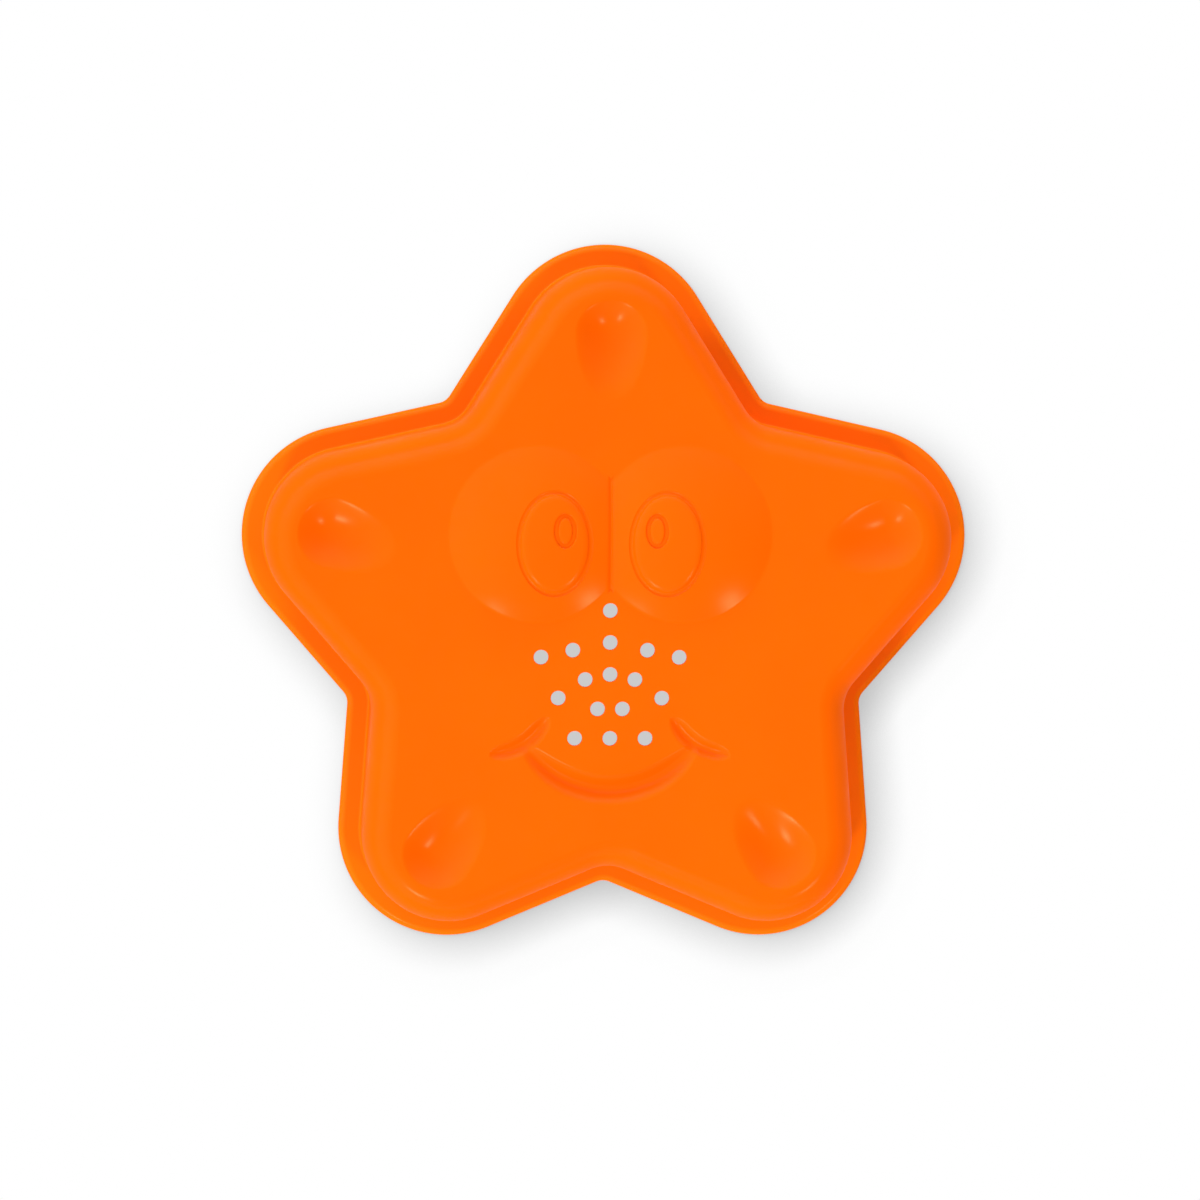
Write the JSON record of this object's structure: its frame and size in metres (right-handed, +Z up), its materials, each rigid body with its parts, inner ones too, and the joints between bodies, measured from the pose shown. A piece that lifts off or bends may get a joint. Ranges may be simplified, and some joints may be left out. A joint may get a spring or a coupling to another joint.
{
  "type": "sand mould",
  "caption": "Starfish-shaped sand mould: a thin shell on a flat rim, with a moulded smiling face, sieve holes and a finger dimple on each arm.",
  "frame": {"origin": "on the surface it stands on, under the middle of the part's box", "axes": "+Z up from the rim to the face, +Y towards the top arm above the eyes, +X to the right of the face seen from above"},
  "size_m": [0.15, 0.1432, 0.0341],
  "materials": {
    "orange_plastic": "orange injection-moulded plastic, satin with a soft gloss"
  },
  "bodies": {
    "root": {"rim": "orange_plastic", "side_wall": "orange_plastic", "shoulder": "orange_plastic", "face_panel": "orange_plastic", "left_eye": "orange_plastic", "right_eye": "orange_plastic", "left_pupil": "orange_plastic", "right_pupil": "orange_plastic", "left_glint": "orange_plastic", "right_glint": "orange_plastic", "smile": "orange_plastic", "left_cheek": "orange_plastic", "right_cheek": "orange_plastic", "top_dimple": "orange_plastic", "left_dimple": "orange_plastic", "lower_left_dimple": "orange_plastic", "lower_right_dimple": "orange_plastic", "right_dimple": "orange_plastic"}
  },
  "joints": []
}
